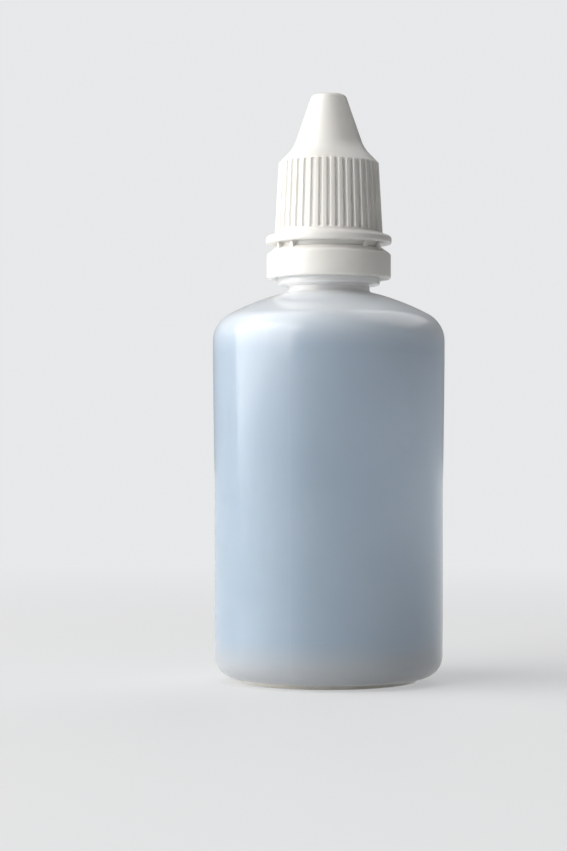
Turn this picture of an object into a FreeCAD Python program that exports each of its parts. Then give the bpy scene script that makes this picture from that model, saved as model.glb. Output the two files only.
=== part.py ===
import FreeCAD, Part
import math
import os

os.makedirs("parts", exist_ok=True)

# Eye drop bottle: blown bottle, dropper plug, fluted screw cap and tamper-evident band.
# All sizes are millimetres. +Z is up, and the foot stands on z = 0 about the axis.

# Driving sizes
shoulder_height = 55.6
body_radius = 16.585
mouth_radius = 5.5

# Bottle body
body_wall = 0.85
inside_corner = 1.2
base_corner = 3.25
foot_inset = 0.835
foot_width = 1.5
foot_rise = 0.6
shoulder_dome = 29.3
shoulder_corner = 3.9
pinch_inset = 3.7
pinch_width = 0.5
pinch_height = 0.25

# Neck of the bottle, from the shoulder up: flare, collar, bead and threaded length
neck_swell = 0.34
mouth_wall = 1.2
shoulder_flare = 0.46
shoulder_flare_rise = 0.3
collar_level = 0.95
collar_height = 1.45
collar_reach = 1.46
bead_gap = 2.0
bead_height = 0.8
bead_land = 0.4
bead_reach = 1.26
thread_length = 10.2

# Dropper plug
plug_wall = 0.85
plug_fit = 0.02
plug_skirt_length = 5.6
plug_flange_height = 0.9
plug_flange_inset = 0.2
dome_inset = 0.1
dome_height = 2.2
dome_edge = 0.5
nozzle_length = 6.1
nozzle_root_radius = 2.1
nozzle_tip_radius = 1.4
nozzle_bore = 0.9
orifice_radius = 0.25
orifice_length = 0.6
seat_radius = 0.8
seat_depth = 0.8

# Screw cap. The space between its bore and the neck holds the two threads.
thread_space = 0.7
skirt_top_wall = 0.96
skirt_foot_wall = 1.53
nozzle_to_cap_top = 3.8
nose_height = 9.85
shoulder_wall = 0.95
nozzle_clearance = 0.2
nose_top_wall = 1.1
nose_top_radius = 2.19
nose_edge = 0.8
nose_slope = 16.2
shoulder_slope = 45.0
flare_radius = 4.3
flute_count = 40
flute_width = 0.64
flute_depth = 0.32
flute_foot_gap = 0.5
flute_foot_slant = 0.48
flute_run_out = 1.2
flange_height = 1.5
flange_fall = 0.45
flange_overhang = 0.1
flange_edge = 0.5
sleeve_wall = 1.25
sleeve_clearance = 0.45
pin_radius = 0.5
pin_tip_radius = 0.25
pin_clearance = 0.08

# Tamper-evident band, which hooks under the bead of the neck
collar_overlap = 0.45
collar_clearance = 0.7
band_rise = 1.07
band_lip = 1.2
lip_clearance = 0.25
chamfer_height = 0.82
chamfer_width = 1.1
recess_height = 0.68
hook_clearance = 0.3
hook_hold = 0.51
hook_land = 0.2
bridge_angles = [-50.0, -28.0, 28.0, 50.0, 130.0, 152.0, 208.0, 230.0]
bridge_width = 0.8
bridge_neck_width = 0.4
bridge_depth = 0.5
bridge_root = 0.6
bridge_gap = 0.05

# Straight runs that stand for one round of a section
base_runs = 4
shoulder_runs = 3
dome_runs = 2

# Angles of a section are degrees from its outward side, and its up is +Z
full_turn = 360.0
straight_up = 90.0
straight_down = -90.0

axis_foot = FreeCAD.Vector(0.0, 0.0, 0.0)
axis_up = FreeCAD.Vector(0.0, 0.0, 1.0)


def place(radius, height):
    """Point of a half section in the plane y = 0."""
    return FreeCAD.Vector(radius, 0.0, height)


class Section:
    """Half section of a turned piece. Its rounds are short straight runs, which turn into cones."""

    def __init__(self, radius, height):
        self.corners = [(place(radius, height), 0.0, 1)]

    def line(self, radius, height, rounding=0.0, runs=1):
        self.corners.append((place(radius, height), rounding, runs))

    def arc_about(self, centre, radius, start_deg, end_deg, runs):
        for step in range(runs + 1):
            turn = math.radians(start_deg + (end_deg - start_deg) * step / runs)
            point = centre + place(radius * math.cos(turn), radius * math.sin(turn))
            self.corners.append((point, 0.0, 1))

    def rounded(self, number):
        """Points of the round at one corner, which takes no more than half of a side."""
        corner, rounding, runs = self.corners[number]
        before = self.corners[number - 1][0] - corner
        after = self.corners[(number + 1) % len(self.corners)][0] - corner
        turn = math.pi - before.getAngle(after)
        tangent = min(rounding * math.tan(turn / 2), before.Length / 2, after.Length / 2)
        radius = tangent / math.tan(turn / 2)
        inward = (before.normalize() + after.normalize()).normalize()
        centre = corner + inward * (radius / math.cos(turn / 2))
        start = corner + before * tangent - centre
        end = corner + after * tangent - centre
        points = []
        for step in range(runs + 1):
            share = step / runs
            weight = math.sin((1 - share) * turn) / math.sin(turn)
            points.append(centre + start * weight + end * (math.sin(share * turn) / math.sin(turn)))
        return points

    def turned(self):
        outline = []
        for number, (corner, rounding, runs) in enumerate(self.corners):
            for point in self.rounded(number) if rounding else [corner]:
                if not outline or point.distanceToPoint(outline[-1]) > 1e-6:
                    outline.append(point)
        face = Part.Face(Part.makePolygon(outline + outline[:1]))
        return face.revolve(axis_foot, axis_up, full_turn)


def crossing(first, first_slope, second, second_slope):
    """Where two falling lines of a section meet. Slopes are degrees from +Z."""
    lean_one = math.tan(math.radians(first_slope))
    lean_two = math.tan(math.radians(second_slope))
    drop = (second.x - first.x + (second.z - first.z) * lean_two) / (lean_one - lean_two)
    return place(first.x + drop * lean_one, first.z - drop)


# Levels and radii that the pieces share
foot_radius = body_radius - base_corner - foot_inset
neck_radius = mouth_radius + neck_swell
bore_radius = mouth_radius - mouth_wall
collar_bottom = shoulder_height + collar_level
collar_top = collar_bottom + collar_height
collar_radius = neck_radius + collar_reach
bead_bottom = collar_top + bead_gap
bead_top = bead_bottom + bead_height
bead_radius = neck_radius + bead_reach
neck_top = bead_top + thread_length
plug_flange_top = neck_top + plug_flange_height
dome_top = plug_flange_top + dome_height
nozzle_top = dome_top + nozzle_length
total_height = nozzle_top + nozzle_to_cap_top
cap_bore = mouth_radius + thread_space
sleeve_radius = cap_bore + sleeve_wall
lip_radius = sleeve_radius + lip_clearance
band_radius = lip_radius + band_lip
band_bottom = collar_top - collar_overlap
band_top = bead_top + band_rise
flange_bottom = band_top + recess_height
flange_top = flange_bottom + flange_height
flange_radius = band_radius + flange_overhang


def make_bottle():
    foot_inner = foot_radius - foot_width
    underside_radius = foot_inner - foot_rise
    base_centre = place(body_radius - base_corner, foot_rise + base_corner)
    dome_centre = place(0.0, shoulder_height - math.sqrt(shoulder_dome ** 2 - neck_radius ** 2))
    across = body_radius - shoulder_corner
    along = math.sqrt((shoulder_dome - shoulder_corner) ** 2 - across ** 2)
    corner_centre = place(across, dome_centre.z + along)
    tangent = math.degrees(math.atan2(along, across))
    flare_angle = math.degrees(math.acos((neck_radius + shoulder_flare) / shoulder_dome))

    bottle = Section(foot_inner, 0.0)
    bottle.line(foot_radius, 0.0)
    bottle.arc_about(base_centre, base_corner, straight_down, 0.0, base_runs)
    bottle.arc_about(corner_centre, shoulder_corner, 0.0, tangent, shoulder_runs)
    bottle.arc_about(dome_centre, shoulder_dome, tangent, flare_angle, dome_runs)
    bottle.line(neck_radius, shoulder_height + shoulder_flare_rise)
    bottle.line(neck_radius, collar_bottom)
    bottle.line(collar_radius, collar_bottom)
    bottle.line(collar_radius, collar_top)
    bottle.line(neck_radius, collar_top)
    bottle.line(neck_radius, bead_bottom)
    bottle.line(bead_radius, bead_bottom)
    bottle.line(bead_radius, bead_bottom + bead_land)
    bottle.line(mouth_radius, bead_top)
    bottle.line(mouth_radius, neck_top)
    bottle.line(bore_radius, neck_top)

    # Inside, one wall thickness in from the outside and thinner round the two corners,
    # where blowing stretches the plastic most
    inner_dome = shoulder_dome - body_wall
    wall_radius = body_radius - body_wall
    inner_top = dome_centre + place(bore_radius, math.sqrt(inner_dome ** 2 - bore_radius ** 2))
    inner_rim = corner_centre + place(
        (shoulder_corner - body_wall) * math.cos(math.radians(tangent)),
        (shoulder_corner - body_wall) * math.sin(math.radians(tangent)))
    fall = (inner_top.z - inner_rim.z) / (inner_rim.x - inner_top.x)
    bottle.line(inner_top.x, inner_top.z)
    bottle.line(wall_radius, inner_rim.z - (wall_radius - inner_rim.x) * fall, inside_corner)
    bottle.line(wall_radius, foot_rise + body_wall, inside_corner)
    bottle.line(0.0, foot_rise + body_wall)

    # Underside, pushed up inside the foot ring
    bottle.line(0.0, foot_rise)
    bottle.line(underside_radius, foot_rise)
    solid = bottle.turned()

    # Pinch line left across the base where the mould closed, half of it sunk in the wall
    pinch_reach = underside_radius - pinch_inset
    pinch = Part.makeBox(pinch_reach * 2, pinch_width, pinch_height * 2)
    pinch.translate(FreeCAD.Vector(-pinch_reach, -pinch_width / 2, foot_rise - pinch_height))
    return solid.fuse(pinch)


def make_dropper_tip():
    skirt_radius = bore_radius - plug_fit
    skirt_inner = skirt_radius - plug_wall
    skirt_bottom = neck_top - plug_skirt_length
    plug_flange_radius = mouth_radius - plug_flange_inset
    dome_radius = skirt_radius - dome_inset
    orifice_top = nozzle_top - seat_depth
    orifice_bottom = orifice_top - orifice_length
    ceiling = dome_top - plug_wall

    plug = Section(skirt_inner, skirt_bottom)
    plug.line(skirt_radius, skirt_bottom)
    plug.line(skirt_radius, neck_top)
    plug.line(plug_flange_radius, neck_top)
    plug.line(plug_flange_radius, plug_flange_top)
    plug.line(dome_radius, plug_flange_top)
    plug.line(dome_radius, dome_top, dome_edge)
    plug.line(nozzle_root_radius, dome_top)
    plug.line(nozzle_tip_radius, nozzle_top)
    plug.line(seat_radius, nozzle_top)
    plug.line(orifice_radius, orifice_top)
    plug.line(orifice_radius, orifice_bottom)
    plug.line(nozzle_bore, orifice_bottom)
    plug.line(nozzle_bore, ceiling)
    plug.line(skirt_inner, ceiling)
    return plug.turned()


def pin_level(radius):
    """Height at which the pin, this wide, lies its clearance above the seat of the nozzle."""
    seat_lean = math.atan2(seat_radius - orifice_radius, seat_depth)
    beyond = radius - orifice_radius + pin_clearance / math.cos(seat_lean)
    return nozzle_top - seat_depth + beyond / math.tan(seat_lean)


def flute_outline(outer, level, slant):
    """Vee of one flute, drawn twice as wide and deep as its cut. Slant lifts its bottom."""
    points = [
        FreeCAD.Vector(outer - flute_depth, 0.0, level + slant),
        FreeCAD.Vector(outer + flute_depth, flute_width, level - slant),
        FreeCAD.Vector(outer + flute_depth, -flute_width, level - slant),
    ]
    return Part.makePolygon(points + points[:1])


def make_cap():
    corner = place(cap_bore + skirt_top_wall, total_height - nose_height)
    edge_centre = place(nose_top_radius, total_height - nose_edge)
    lean = math.radians(nose_slope)
    nose_start = edge_centre + place(nose_edge * math.cos(lean), nose_edge * math.sin(lean))
    flare = crossing(nose_start, nose_slope, corner, shoulder_slope)
    skirt_foot = cap_bore + skirt_foot_wall
    sleeve_bottom = bead_top + sleeve_clearance

    cap = Section(0.0, total_height)
    cap.arc_about(edge_centre, nose_edge, straight_up, nose_slope, dome_runs)
    cap.line(flare.x, flare.z, flare_radius)
    cap.line(corner.x, corner.z)
    cap.line(skirt_foot, flange_top)
    cap.line(flange_radius, flange_top - flange_fall, flange_edge)
    cap.line(flange_radius, flange_bottom)
    cap.line(sleeve_radius, flange_bottom)
    cap.line(sleeve_radius, sleeve_bottom)
    cap.line(cap_bore, sleeve_bottom)

    # Inside, which follows the shoulder, and the pin that closes the orifice
    ceiling = total_height - nose_top_wall
    well_radius = nozzle_root_radius + nozzle_clearance
    inner_shoulder = corner - place(shoulder_wall / math.cos(math.radians(shoulder_slope)), 0.0)
    inner_corner = crossing(place(cap_bore, corner.z), 0.0, inner_shoulder, shoulder_slope)
    well_foot = crossing(place(well_radius, ceiling), 0.0, inner_shoulder, shoulder_slope)
    cap.line(inner_corner.x, inner_corner.z)
    cap.line(well_foot.x, well_foot.z)
    cap.line(well_radius, ceiling)
    cap.line(pin_radius, ceiling)
    cap.line(pin_radius, pin_level(pin_radius))
    cap.line(pin_tip_radius, pin_level(pin_tip_radius))
    cap.line(0.0, pin_level(pin_tip_radius))
    solid = cap.turned()

    # Flutes of the grip, each leaning with the skirt and running out over the shoulder
    lean_in = (skirt_foot - corner.x) / (corner.z - flange_top)
    foot = flange_top + flute_foot_gap
    head = corner.z + flute_run_out
    outlines = [
        flute_outline(skirt_foot - (foot - flange_top) * lean_in, foot, flute_foot_slant),
        flute_outline(skirt_foot - (head - flange_top) * lean_in, head, 0.0),
    ]
    flute = Part.makeLoft(outlines, True, True)
    flutes = []
    for number in range(flute_count):
        copy = flute.copy()
        copy.rotate(axis_foot, axis_up, number * full_turn / flute_count)
        flutes.append(copy)
    return solid.cut(Part.makeCompound(flutes))


def make_tamper_band():
    foot_inner = collar_radius + collar_clearance
    hook_top = bead_bottom - hook_clearance
    hook_tip = bead_radius - hook_hold
    band = Section(foot_inner, band_bottom)
    band.line(band_radius, band_bottom)
    band.line(band_radius, band_top - chamfer_height)
    band.line(band_radius - chamfer_width, band_top)
    band.line(lip_radius, band_top)
    band.line(lip_radius, hook_top)
    band.line(hook_tip, hook_top)
    band.line(hook_tip, hook_top - hook_land)
    solid = band.turned()

    # Breakable bridges that stand on the band and narrow towards the cap's flange
    foot = band_top - bridge_root
    head = flange_bottom - bridge_gap
    corners = [
        FreeCAD.Vector(lip_radius, -bridge_width / 2, foot),
        FreeCAD.Vector(lip_radius, bridge_width / 2, foot),
        FreeCAD.Vector(lip_radius, bridge_neck_width / 2, head),
        FreeCAD.Vector(lip_radius, -bridge_neck_width / 2, head),
    ]
    outline = Part.Face(Part.makePolygon(corners + corners[:1]))
    bridge = outline.extrude(FreeCAD.Vector(bridge_depth, 0.0, 0.0))
    for angle in bridge_angles:
        copy = bridge.copy()
        copy.rotate(axis_foot, axis_up, angle)
        solid = solid.fuse(copy)
    return solid


pieces = {
    "bottle": make_bottle,
    "dropper_tip": make_dropper_tip,
    "cap": make_cap,
    "tamper_band": make_tamper_band,
}
for name, make_piece in pieces.items():
    make_piece().exportStep("parts/" + name + ".step")
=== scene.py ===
import math

import bmesh
import bpy
from mathutils import Matrix, Quaternion, Vector


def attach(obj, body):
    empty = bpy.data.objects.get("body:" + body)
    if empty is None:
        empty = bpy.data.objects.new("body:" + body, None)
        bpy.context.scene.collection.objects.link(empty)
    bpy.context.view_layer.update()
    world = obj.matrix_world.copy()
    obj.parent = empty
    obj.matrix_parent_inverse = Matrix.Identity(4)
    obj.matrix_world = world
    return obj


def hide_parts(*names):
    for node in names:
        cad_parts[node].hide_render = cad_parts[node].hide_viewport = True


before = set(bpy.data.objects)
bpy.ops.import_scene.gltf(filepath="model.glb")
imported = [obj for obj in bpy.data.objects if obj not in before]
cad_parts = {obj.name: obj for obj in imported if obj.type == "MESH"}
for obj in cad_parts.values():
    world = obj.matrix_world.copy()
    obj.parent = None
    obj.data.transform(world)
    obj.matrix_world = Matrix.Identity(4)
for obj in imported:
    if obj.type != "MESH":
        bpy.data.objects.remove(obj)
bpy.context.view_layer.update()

# An eye drop bottle: milky bottle, dropper plug, fluted white cap and tamper-evident band.
# Pieces are drawn in millimetres. A half section is a list of (distance from the axis, height),
# with the radius of a rounded corner as a third number, and it is turned about the axis.
# Finishes, lamps and the camera are set in metres.
MM = 0.001
ORIGIN = (0.0, 0.0, 0.0)
AXIS = Vector((0.0, 0.0, 1.0))
MERGE_DISTANCE = 0.002 * MM
SHARP_ANGLE = math.radians(50.0)

# Levels of the pieces
FOOT_RISE = 0.6
INSIDE_FLOOR = 1.45
NECK_TOP = 71.0
NOZZLE_TOP = 80.2
CAP_TOP = 84.0

# Distances from the axis
NECK = 5.84
COLLAR = 7.3
BEAD = 7.1
MOUTH = 5.5
BORE = 4.3
CAP_BORE = 6.2
CAP_FLANGE = 9.0

# The screw: its rise in one turn, and its ends, which fade over one turn divided by THREAD_FADE
THREAD_LEAD = 3.0
THREAD_STEPS = 120
THREAD_FADE = 7.2
THREAD_ROUND = 0.12

# The cap's grip: a leaning skirt and its flutes, which run out over a short height at each end.
# SKIRT_LEAN is what the radius loses for each millimetre of height.
FLUTES = 40
FLUTE_DEPTH = 0.31
FLUTE_HALF_WIDTH = 0.34
FLUTE_FLANK = 0.19
FLUTE_FOOT, FLUTE_FOOT_RUN = 64.3, 0.35
FLUTE_HEAD, FLUTE_HEAD_RUN = 74.4, 0.5
GRIP_FOOT, GRIP_HEAD = 64.2, 74.5
GRIP_INSIDE = 6.3
SKIRT_FOOT = 64.05
SKIRT_RADIUS = 7.73
SKIRT_LEAN = 0.0564

# The bridges of the band, in degrees from the right, anticlockwise from above
BRIDGE_ANGLES = (-50.0, -28.0, 28.0, 50.0, 130.0, 152.0, 208.0, 230.0)

# Shades of the bottle: the two that cloud the barrel, and then, laid over each other, the height
# where each one begins to show, the height where it's full, and its colour. The shoulder's and
# the foot ring's colours are partly painted light.
BARREL_SHADES = (0.333, 0.422, 0.524), (0.353, 0.442, 0.544)
COLOURS_AND_PAINTED_LIGHT_BY_HEIGHT = (
    (0.0300, 0.0510, (0.395, 0.484, 0.592)),  # upper barrel
    # The shoulder: paler thick plastic, lightened further by painted light on its upward face.
    (0.0465, 0.0535, (0.740, 0.800, 0.890)),  # shoulder
    (0.0538, 0.0560, (0.860, 0.875, 0.890)),  # neck
    (0.0075, 0.0018, (0.430, 0.455, 0.485)),  # foot
    # The foot ring: thick pale plastic, with a painted highlight that lifts its contact shadow.
    (0.0009, 0.0005, (0.970, 0.940, 0.870)),  # foot ring
)

# The faint split line of the bottle's mould: the direction across it, the distances where it
# begins and is full, and its colour with the share of it that shows
SPLIT_ACROSS = (0.9455, -0.3256, 0.0)
SPLIT_OUTER, SPLIT_INNER = 0.00022, 0.00004
SPLIT_COLOUR = (0.86, 0.90, 0.93)
SPLIT_TINT = 0.03
SPLIT_HEIGHT = 0.6

# The studio
PALE = (0.80, 0.81, 0.82)
FILL_COLOUR = (1.0, 0.94, 0.87)
FILL_STRENGTH = 0.03
SURROUND_MIRRORED = 0.3
FLOOR_RADIUS = 3.0
FLOOR_ROUGHNESS = 0.55


# ---- How pieces are shaped

def section(corners, closed=False):
    """A half section as a chain of edges with rounded corners. A closed one joins its ends."""
    bm = bmesh.new()
    verts = [bm.verts.new((corner[0] * MM, 0.0, corner[1] * MM)) for corner in corners]
    following = verts[1:] + verts[:1] if closed else verts[1:]
    for start, end in zip(verts, following):
        bm.edges.new((start, end))
    rounds = []
    for number, corner in enumerate(corners):
        if len(corner) == 3:
            before = verts[number - 1].co - verts[number].co
            after = verts[(number + 1) % len(verts)].co - verts[number].co
            turn = math.pi - before.angle(after)
            rounds.append((verts[number], corner[2] * MM * math.tan(turn / 2)))
    for vert, reach in rounds:
        bmesh.ops.bevel(bm, geom=[vert], offset=reach, affect="VERTICES", segments=6,
                        profile=0.5, material=-1, clamp_overlap=True)
    return bm


def close_up(bm):
    """Joins the points that meet and turns the faces outward."""
    bmesh.ops.remove_doubles(bm, verts=bm.verts[:], dist=MERGE_DISTANCE)
    bmesh.ops.recalc_face_normals(bm, faces=bm.faces[:])


def turn_section(bm, steps, parts=12):
    """Turns a half section round the axis: spins one part of the turn in steps and repeats it."""
    share = math.tau / parts
    bmesh.ops.spin(bm, geom=bm.verts[:] + bm.edges[:], axis=AXIS, cent=ORIGIN, dvec=ORIGIN,
                   angle=share, steps=steps, use_merge=False, use_duplicate=False)
    bmesh.ops.spin(bm, geom=bm.verts[:] + bm.edges[:] + bm.faces[:], axis=AXIS, cent=ORIGIN,
                   dvec=ORIGIN, angle=math.tau - share, steps=parts - 1, use_merge=False,
                   use_duplicate=True)
    close_up(bm)


def thread(root, crest, base, top, level, turns, start):
    """A right-hand screw thread whose two ends fade into the wall. Start is in turns."""
    bm = bmesh.new()
    steps = int(turns * THREAD_STEPS)
    corners = [(root, -base / 2), (crest, -top / 2), (crest, top / 2), (root, base / 2)]
    verts = [bm.verts.new((radius * MM, 0.0, height * MM)) for radius, height in corners]
    bm.faces.new(verts)
    bmesh.ops.bevel(bm, geom=[verts[1], verts[2]], offset=THREAD_ROUND * MM, affect="VERTICES",
                    segments=3, profile=0.5, material=-1)
    bmesh.ops.spin(bm, geom=bm.verts[:] + bm.edges[:] + bm.faces[:], axis=AXIS, cent=ORIGIN,
                   dvec=(0.0, 0.0, THREAD_LEAD * turns * MM / steps), angle=math.tau * turns,
                   steps=steps, use_merge=False, use_duplicate=False)
    for vert in bm.verts:
        angle = math.atan2(vert.co.y, vert.co.x) / math.tau
        along = angle + round(vert.co.z / (THREAD_LEAD * MM) - angle)
        fade = min(1.0, max(0.0, along * THREAD_FADE), max(0.0, (turns - along) * THREAD_FADE))
        radius = vert.co.xy.length
        wanted = root * MM + (radius - root * MM) * math.sin(fade * math.pi / 2)
        vert.co.xy *= wanted / radius
    place = Matrix.Translation((0.0, 0.0, level * MM)) @ Matrix.Rotation(start * math.tau, 4, "Z")
    bmesh.ops.transform(bm, matrix=place, verts=bm.verts[:])
    close_up(bm)
    return bm


def block(bm, width, depth, height, narrow, soft, place):
    """A bevelled block that narrows to the top, set down at a place. Its depth is along X."""
    made = bmesh.ops.create_cube(bm, size=1.0)["verts"]
    for vert in made:
        share = narrow if vert.co.z > 0 else 1.0
        vert.co = Vector((vert.co.x * depth, vert.co.y * width * share, vert.co.z * height)) * MM
    edges = list({edge for vert in made for edge in vert.link_edges})
    bmesh.ops.transform(bm, matrix=place, verts=made)
    bmesh.ops.bevel(bm, geom=edges, offset=soft * MM, affect="EDGES", segments=2,
                    profile=0.5, material=-1)


def new_mesh(name, bm):
    mesh = bpy.data.meshes.new(name)
    bm.to_mesh(mesh)
    bm.free()
    return mesh


def add_object(name, data):
    made = bpy.data.objects.new(name, data)
    bpy.context.scene.collection.objects.link(made)
    return made


def piece(name, bm, body, finish, stands_for=None):
    """Makes the object, with its place in its mesh, and lets it ride on its body."""
    mesh = new_mesh(name, bm)
    mesh.shade_smooth()
    mesh.set_sharp_from_angle(angle=SHARP_ANGLE)
    mesh.materials.append(finish)
    made = add_object(name, mesh)
    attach(made, body)
    if stands_for:
        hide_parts(stands_for)


# ---- Nodes that the finishes and the studio share

def noise(tree, vector, scale, detail):
    node = tree.nodes.new("ShaderNodeTexNoise")
    node.inputs["Detail"].default_value = detail
    tree.links.new(vector, node.inputs["Vector"])
    tree.links.new(scale, node.inputs["Scale"])
    return node.outputs["Fac"]


def spread(tree, value, low, high, to_low=0.0, to_high=1.0, smooth=True):
    """Maps the range from low to high onto another one, and stays inside it."""
    node = tree.nodes.new("ShaderNodeMapRange")
    node.interpolation_type = "SMOOTHSTEP" if smooth else "LINEAR"
    for name, number in (("From Min", low), ("From Max", high),
                         ("To Min", to_low), ("To Max", to_high)):
        node.inputs[name].default_value = number
    tree.links.new(value, node.inputs["Value"])
    return node.outputs["Result"]


def sums(tree, kind, first, second=None):
    """One step of arithmetic on two values, each a socket or a number."""
    node = tree.nodes.new("ShaderNodeMath")
    node.operation = kind
    for number, value in enumerate((first, second)):
        if isinstance(value, float):
            node.inputs[number].default_value = value
        elif value is not None:
            tree.links.new(value, node.inputs[number])
    return node.outputs[0]


def measure(tree, kind, vector, against=ORIGIN):
    """One number from a vector: its length, or how far it reaches along another."""
    node = tree.nodes.new("ShaderNodeVectorMath")
    node.operation = kind
    node.inputs[1].default_value = against
    tree.links.new(vector, node.inputs[0])
    return node.outputs["Value"]


def blend_colours(tree, factor, first, second):
    """A mix of two colours, each a socket or three numbers."""
    node = tree.nodes.new("ShaderNodeMix")
    node.data_type = "RGBA"
    tree.links.new(factor, node.inputs["Factor"])
    for name, value in (("A", first), ("B", second)):
        socket = [s for s in node.inputs if s.name == name and s.type == "RGBA"][0]
        if isinstance(value, tuple):
            socket.default_value = (*value, 1.0)
        else:
            tree.links.new(value, socket)
    return [s for s in node.outputs if s.type == "RGBA"][0]


def blend_shaders(tree, factor, first, second):
    node = tree.nodes.new("ShaderNodeMixShader")
    for number, value in enumerate((factor, first.outputs[0], second.outputs[0])):
        tree.links.new(value, node.inputs[number])
    return node


def seen_rays(tree, mirrored):
    """One for a ray that sees a surface straight or through a plastic, less for a mirrored one."""
    rays = tree.nodes.new("ShaderNodeLightPath")
    reflected = sums(tree, "MULTIPLY", rays.outputs["Is Glossy Ray"], mirrored)
    return sums(tree, "MAXIMUM", rays.outputs["Is Camera Ray"],
                sums(tree, "MAXIMUM", reflected, rays.outputs["Is Transmission Ray"]))


# ---- Finishes

def moulded_skin():
    """Shared by the plastics: slow clouds of shade, patches of gloss and fine mould grain."""
    tree = bpy.data.node_groups.new("moulded skin", "ShaderNodeTree")
    tree.interface.new_socket(name="Place", in_out="INPUT", socket_type="NodeSocketVector")
    for name in ("Cloud Scale", "Grain Scale", "Ripple Scale", "Ripple"):
        tree.interface.new_socket(name=name, in_out="INPUT", socket_type="NodeSocketFloat")
    for name in ("Cloud", "Gloss", "Height"):
        tree.interface.new_socket(name=name, in_out="OUTPUT", socket_type="NodeSocketFloat")
    given = tree.nodes.new("NodeGroupInput").outputs
    result = tree.nodes.new("NodeGroupOutput").inputs
    cloud = noise(tree, given["Place"], given["Cloud Scale"], detail=3.0)
    gloss = noise(tree, given["Place"], given["Ripple Scale"], detail=1.0)
    grain = noise(tree, given["Place"], given["Grain Scale"], detail=2.0)
    ripple = sums(tree, "MULTIPLY", gloss, given["Ripple"])
    tree.links.new(spread(tree, cloud, low=0.3, high=0.7), result["Cloud"])
    tree.links.new(spread(tree, gloss, low=0.3, high=0.7), result["Gloss"])
    tree.links.new(sums(tree, "ADD", grain, ripple), result["Height"])
    return tree


SKIN = moulded_skin()


class Finish:
    """One plastic: a Principled shader with the moulded skin behind it."""

    def __init__(self, name, **values):
        self.material = bpy.data.materials.new(name)
        self.material.use_nodes = True
        self.tree = self.material.node_tree
        self.shader = self.tree.nodes["Principled BSDF"]
        for socket, value in values.items():
            self.shader.inputs[socket.replace("_", " ")].default_value = value
        self.place = self.tree.nodes.new("ShaderNodeTexCoord").outputs["Object"]

    def height(self):
        apart = self.tree.nodes.new("ShaderNodeSeparateXYZ")
        self.tree.links.new(self.place, apart.inputs[0])
        return apart.outputs["Z"]

    def skin(self, cloud, grain, ripple, amount):
        """The moulded skin at three scales, with an amount of ripple. Gives its outputs."""
        node = self.tree.nodes.new("ShaderNodeGroup")
        node.node_tree = SKIN
        self.tree.links.new(self.place, node.inputs["Place"])
        for name, value in (("Cloud Scale", cloud), ("Grain Scale", grain),
                            ("Ripple Scale", ripple), ("Ripple", amount)):
            node.inputs[name].default_value = value
        return node.outputs

    def colour(self, socket):
        self.tree.links.new(socket, self.shader.inputs["Base Color"])

    def roughness(self, value, low, high):
        self.tree.links.new(spread(self.tree, value, 0.0, 1.0, low, high, smooth=False),
                            self.shader.inputs["Roughness"])

    def bump(self, height, distance):
        node = self.tree.nodes.new("ShaderNodeBump")
        node.inputs["Distance"].default_value = distance
        self.tree.links.new(height, node.inputs["Height"])
        self.tree.links.new(node.outputs["Normal"], self.shader.inputs["Normal"])

    def polished(self, skin, first, second):
        """Clouds between two colours, and the even gloss of a polished mould."""
        self.colour(blend_colours(self.tree, skin["Cloud"], first, second))
        self.roughness(skin["Gloss"], low=0.30, high=0.34)
        self.bump(skin["Height"], distance=0.000004)


def milky_plastic():
    """Blown bottle: cool see-through barrel, paler thick neck and foot, painted light on shoulder
    and foot ring.
    """
    finish = Finish("milky plastic", IOR=1.51, Coat_Weight=0.6, Coat_Roughness=0.12,
                    Subsurface_Weight=0.5, Subsurface_Radius=(1.0, 1.1, 1.25),
                    Subsurface_Scale=0.0015)
    tree = finish.tree
    skin = finish.skin(cloud=90.0, grain=1900.0, ripple=260.0, amount=1.4)
    height = finish.height()
    colour = blend_colours(tree, skin["Cloud"], *BARREL_SHADES)
    # Laid over by height: tones of the plastic, with painted light on the shoulder and the foot
    # ring.
    for begins, full, shade in COLOURS_AND_PAINTED_LIGHT_BY_HEIGHT:
        colour = blend_colours(tree, spread(tree, height, begins, full), colour, shade)
    aside = sums(tree, "ABSOLUTE", measure(tree, "DOT_PRODUCT", finish.place, SPLIT_ACROSS))
    split = spread(tree, aside, SPLIT_OUTER, SPLIT_INNER)
    tint = sums(tree, "MULTIPLY", split, SPLIT_TINT)
    ridge = sums(tree, "MULTIPLY", split, SPLIT_HEIGHT)
    finish.colour(blend_colours(tree, tint, colour, SPLIT_COLOUR))
    finish.roughness(skin["Gloss"], low=0.29, high=0.32)
    finish.bump(sums(tree, "ADD", skin["Height"], ridge), distance=0.000006)
    return finish.material


def white_plastic(name, warm, cool):
    """Injection-moulded cap and band: white and smooth, with clouds of two close shades."""
    finish = Finish(name, IOR=1.49, Subsurface_Weight=0.12, Subsurface_Radius=(1.0, 0.9, 0.8),
                    Subsurface_Scale=0.0007)
    finish.polished(finish.skin(cloud=160.0, grain=3200.0, ripple=520.0, amount=0.8), warm, cool)
    return finish.material


def natural_plastic():
    """Dropper plug: the same soft plastic as the bottle, thicker and so whiter."""
    finish = Finish("natural plastic", IOR=1.51, Subsurface_Weight=0.35,
                    Subsurface_Radius=(1.0, 1.0, 1.05), Subsurface_Scale=0.0009,
                    Transmission_Weight=0.08)
    finish.polished(finish.skin(cloud=260.0, grain=3600.0, ripple=700.0, amount=0.7),
                    (0.70, 0.74, 0.77), (0.78, 0.81, 0.83))
    return finish.material


MILKY = milky_plastic()
WHITE_CAP = white_plastic("white cap plastic", (0.84, 0.83, 0.80), (0.88, 0.87, 0.85))
WHITE_BAND = white_plastic("white band plastic", (0.83, 0.82, 0.79), (0.87, 0.86, 0.83))
NATURAL = natural_plastic()


# ---- Bottle

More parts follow.
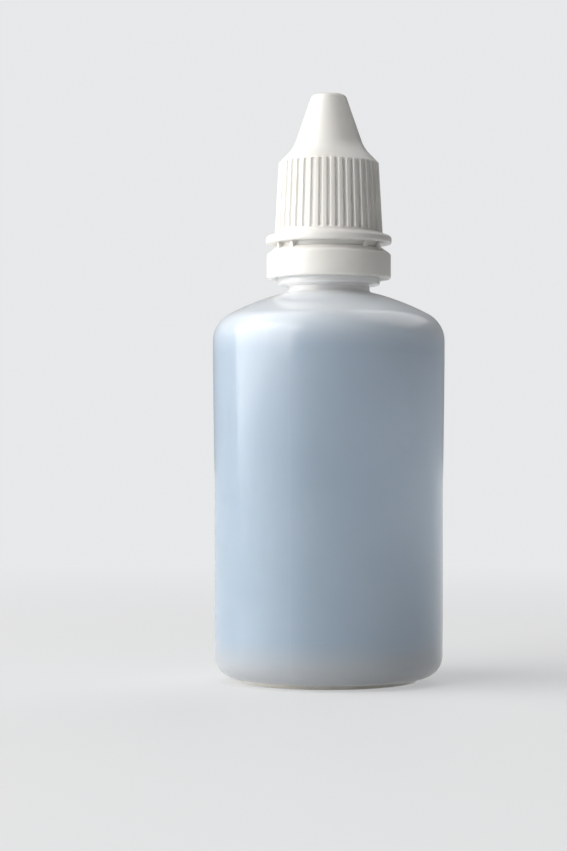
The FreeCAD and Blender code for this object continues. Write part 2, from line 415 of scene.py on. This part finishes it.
def make_bottle():
    """The blown bottle, with the pinch-off bar of its mould under the base."""
    foot = [(0.0, FOOT_RISE), (10.1, FOOT_RISE, 0.5), (11.0, 0.0, 0.35), (12.5, 0.0, 0.4),
            (12.95, FOOT_RISE, 0.3), (16.29, FOOT_RISE, 3.1)]
    barrel = [(16.32, 5.9), (16.36, 8.7), (16.36, 28.8), (16.43, 33.1), (16.46, 36.0),
              (16.52, 40.3), (16.58, 46.0), (16.58, 51.155, 3.9)]
    shoulder = [(10.653, 54.543, 29.3), (NECK, 55.65, 0.5)]
    collar = [(NECK, 56.55, 0.15), (COLLAR, 56.7, 0.2), (COLLAR, 58.0, 0.2), (NECK, 58.0, 0.2)]
    bead = [(NECK, 60.0, 0.15), (BEAD, 60.0, 0.12), (BEAD, 60.4, 0.2), (MOUTH, 60.8, 0.2)]
    mouth = [(MOUTH, NECK_TOP, 0.3), (BORE, NECK_TOP, 0.25)]
    inside = [(BORE, 55.25, 1.2), (10.344, 53.741, 28.45), (15.735, 50.661, 3.05),
              (15.735, 46.0), (15.61, 36.0), (15.51, 28.8), (15.51, 8.7),
              (15.44, INSIDE_FLOOR, 2.3), (0.0, INSIDE_FLOOR)]
    bm = section(foot + barrel + shoulder + collar + bead + mouth + inside)
    turn_section(bm, steps=16)
    block(bm, width=0.5, depth=13.4, height=0.3, narrow=0.8, soft=0.1,
          place=Matrix.Translation((0.0, 0.0, 0.5 * MM)))
    piece("bottle_shell", bm, "bottle", MILKY, "bottle")


# ---- Dropper plug

def make_dropper():
    """The plug pressed into the neck: skirt, flange, dome, nozzle and metering hole."""
    skirt = [(3.43, 65.4, 0.15), (4.1, 65.4, 0.15), (4.28, 66.0, 0.3), (4.28, NECK_TOP)]
    flange = [(5.3, NECK_TOP, 0.15), (5.3, 71.9, 0.25), (4.18, 71.9, 0.2)]
    dome = [(4.18, 74.1, 1.1), (2.15, 74.1, 0.7)]
    tip = [(1.4, NOZZLE_TOP, 0.25), (0.8, NOZZLE_TOP, 0.1), (0.25, 79.4), (0.25, 78.8)]
    inside = [(0.9, 78.8, 0.2), (0.9, 73.25, 0.3), (3.43, 73.25, 0.5)]
    bm = section(skirt + flange + dome + tip + inside, closed=True)
    turn_section(bm, steps=8)
    piece("dropper_plug", bm, "bottle", NATURAL, "dropper_tip")


# ---- Screw cap

def smooth_share(share):
    """An even step from none to whole, with soft ends."""
    share = min(1.0, max(0.0, share))
    return share * share * (3 - 2 * share)


def cut_flutes(bm):
    """Presses the rounded flutes of the grip into the skirt, running out over the shoulder."""
    pitch = math.tau / FLUTES
    for vert in bm.verts:
        radius, height = vert.co.xy.length / MM, vert.co.z / MM
        if radius < GRIP_INSIDE or not GRIP_FOOT < height < GRIP_HEAD:
            continue
        angle = math.atan2(vert.co.y, vert.co.x)
        aside = abs(angle / pitch - round(angle / pitch)) * pitch * radius
        groove = smooth_share((FLUTE_HALF_WIDTH - aside) / FLUTE_FLANK)
        ends = (smooth_share((height - FLUTE_FOOT) / FLUTE_FOOT_RUN)
                * smooth_share((FLUTE_HEAD - height) / FLUTE_HEAD_RUN))
        skirt = SKIRT_RADIUS - (height - SKIRT_FOOT) * SKIRT_LEAN
        wanted = min(radius, skirt - FLUTE_DEPTH * groove * ends)
        vert.co.xy *= wanted / radius


def make_cap():
    """The fluted cap. The skirt has more rows where the flutes begin and end."""
    nose = [(0.0, CAP_TOP), (2.4, CAP_TOP, 0.8), (4.72, 77.34), (4.86, 76.94), (5.16, 76.4),
            (5.55, 75.82), (5.9, 75.44), (6.2, 75.13), (6.5, 74.82), (6.8, 74.51)]
    skirt = [(7.16, 74.15, 0.2), (7.168, 74.0), (7.174, 73.9), (7.182, 73.75), (7.193, 73.55),
             (7.21, 73.2), (7.6, 66.3), (7.66, 65.25), (7.69, 64.75), (7.696, 64.65),
             (7.702, 64.55), (7.707, 64.46), (7.712, 64.38), (7.717, 64.3),
             (SKIRT_RADIUS, SKIRT_FOOT, 0.15)]
    flange = [(CAP_FLANGE, 63.6, 0.5), (CAP_FLANGE, 62.55, 0.3)]
    sleeve = [(7.45, 62.55, 0.15), (7.45, 61.25, 0.2), (CAP_BORE, 61.25, 0.25)]
    inside = [(CAP_BORE, 73.77, 0.5), (2.3, 77.66, 0.8), (2.3, 82.9, 0.5)]
    pin = [(0.5, 82.9, 0.3), (0.5, 79.9, 0.1), (0.25, 79.54, 0.1), (0.0, 79.54)]
    bm = section(nose + skirt + flange + sleeve + inside + pin)
    turn_section(bm, steps=14, parts=FLUTES)
    cut_flutes(bm)
    piece("screw_cap", bm, "cap", WHITE_CAP, "cap")


# ---- Tamper-evident band

def make_band():
    """The band, hooked under the neck's bead, with the bridges that break at first opening."""
    outside = [(8.0, 57.55, 0.2), (8.9, 57.55, 0.3), (8.9, 61.05, 0.35), (7.8, 61.87, 0.12)]
    hook = [(7.7, 61.87, 0.05), (7.7, 59.7, 0.2), (6.59, 59.7, 0.1), (6.59, 59.5, 0.1)]
    bm = section(outside + hook, closed=True)
    turn_section(bm, steps=13)
    for angle in BRIDGE_ANGLES:
        turned = Matrix.Rotation(math.radians(angle), 4, "Z")
        block(bm, width=0.8, depth=0.5, height=1.15, narrow=0.5, soft=0.06,
              place=turned @ Matrix.Translation((7.95 * MM, 0.0, 61.925 * MM)))
    piece("tamper_ring", bm, "tamper_band", WHITE_BAND, "tamper_band")


make_bottle()
make_dropper()
make_cap()
make_band()
neck_thread = thread(root=5.45, crest=6.05, base=1.3, top=0.6, level=63.6, turns=1.75, start=0.0)
cap_thread = thread(root=6.25, crest=5.7, base=1.1, top=0.5, level=63.35, turns=1.5, start=0.25)
piece("neck_thread", neck_thread, "bottle", MILKY)
piece("cap_thread", cap_thread, "cap", WHITE_CAP)


# ---- Floor, light and camera

def studio_floor():
    """A wide pale floor that keeps the bottle's shadow and fades into the pale surround."""
    bm = bmesh.new()
    bmesh.ops.create_circle(bm, cap_ends=True, radius=FLOOR_RADIUS, segments=128)
    mesh = new_mesh("studio_floor", bm)
    floor = add_object("studio_floor", mesh)
    material = bpy.data.materials.new("pale floor")
    material.use_nodes = True
    tree = material.node_tree
    shader = tree.nodes["Principled BSDF"]
    shader.inputs["Base Color"].default_value = (*PALE, 1.0)
    shader.inputs["Roughness"].default_value = FLOOR_ROUGHNESS
    glow = tree.nodes.new("ShaderNodeEmission")
    glow.inputs["Color"].default_value = (*PALE, 1.0)
    spot = tree.nodes.new("ShaderNodeTexCoord").outputs["Object"]
    faded = spread(tree, measure(tree, "LENGTH", spot), low=0.03, high=0.35, to_low=0.5)
    share = sums(tree, "MULTIPLY", seen_rays(tree, mirrored=1.0), faded)
    above = blend_shaders(tree, share, shader, glow)
    below = tree.nodes.new("ShaderNodeNewGeometry").outputs["Backfacing"]
    whole = blend_shaders(tree, below, above, tree.nodes.new("ShaderNodeBsdfTransparent"))
    tree.links.new(whole.outputs[0], tree.nodes["Material Output"].inputs["Surface"])
    mesh.materials.append(material)


def surround():
    """The world: pale where it is seen, and a soft even fill where it lights the bottle."""
    world = bpy.data.worlds.new("studio surround")
    bpy.context.scene.world = world
    world.use_nodes = True
    tree = world.node_tree
    fill = tree.nodes["Background"]
    fill.inputs["Color"].default_value = (*FILL_COLOUR, 1.0)
    fill.inputs["Strength"].default_value = FILL_STRENGTH
    seen = tree.nodes.new("ShaderNodeBackground")
    seen.inputs["Color"].default_value = (*PALE, 1.0)
    whole = blend_shaders(tree, seen_rays(tree, SURROUND_MIRRORED), fill, seen)
    tree.links.new(whole.outputs[0], tree.nodes["World Output"].inputs["Surface"])


def softbox(name, azimuth, distance, height, size, watts, colour, aim=0.05, beam=180.0,
            roll=0.0, mirrored=True, lights=True):
    """An area lamp that looks at the axis, at the height of its aim. Azimuth 0 is the camera's
    side. A lamp that isn't mirrored only lights, and one that doesn't light is only mirrored."""
    lamp = bpy.data.lights.new(name, "AREA")
    lamp.shape = "RECTANGLE"
    lamp.size, lamp.size_y = size
    lamp.energy = watts
    lamp.color = colour
    lamp.spread = math.radians(beam)
    made = add_object(name, lamp)
    turn = math.radians(azimuth)
    made.location = (math.sin(turn) * distance, -math.cos(turn) * distance, height)
    aimed = (Vector((0.0, 0.0, aim)) - made.location).to_track_quat("-Z", "Y")
    made.rotation_euler = (aimed @ Quaternion(AXIS, math.radians(roll))).to_euler()
    made.visible_glossy = mirrored
    made.visible_diffuse = lights


def camera():
    """Looks level along +Y. The shift of its lens sets where the bottle stands in the picture."""
    lens = bpy.data.cameras.new("photo view")
    lens.sensor_width = 36.0
    lens.lens = 94.46
    lens.shift_x, lens.shift_y = -0.0532, 0.0311
    lens.clip_start, lens.clip_end = 0.01, 20.0
    made = add_object("photo view", lens)
    made.location = (0.0, -0.320, 0.0328)
    made.rotation_euler = (math.pi / 2, 0.0, 0.0)
    bpy.context.scene.camera = made


studio_floor()
surround()
softbox("left softbox", azimuth=-70.0, distance=0.55, height=0.28, size=(0.84, 0.50),
        watts=4.55, colour=(1.0, 0.98, 0.95), roll=5.0)
softbox("left fill", azimuth=-100.0, distance=0.55, height=0.20, size=(0.50, 0.50),
        watts=1.3, colour=(1.0, 0.98, 0.95), mirrored=False)
softbox("upper softbox", azimuth=-55.0, distance=0.25, height=0.55, size=(0.40, 0.36),
        watts=0.95, colour=(1.0, 1.0, 0.99), mirrored=False)
softbox("top card", azimuth=-89.0, distance=0.337, height=0.546, size=(0.60, 0.44),
        watts=1.3, colour=(1.0, 1.0, 1.0), roll=-27.0, lights=False)
softbox("right card", azimuth=115.0, distance=0.35, height=0.50, size=(0.60, 0.50),
        watts=1.2, colour=(1.0, 0.99, 0.98), lights=False)
softbox("right strip", azimuth=85.0, distance=0.40, height=0.03, size=(0.30, 0.03),
        watts=0.015, colour=(1.0, 0.94, 0.90), aim=0.03, beam=8.0, mirrored=False)
softbox("back fill", azimuth=160.0, distance=0.60, height=0.40, size=(0.60, 0.50),
        watts=1.6, colour=(1.0, 0.98, 0.96), mirrored=False)
camera()
bpy.context.scene.view_settings.view_transform = "Standard"
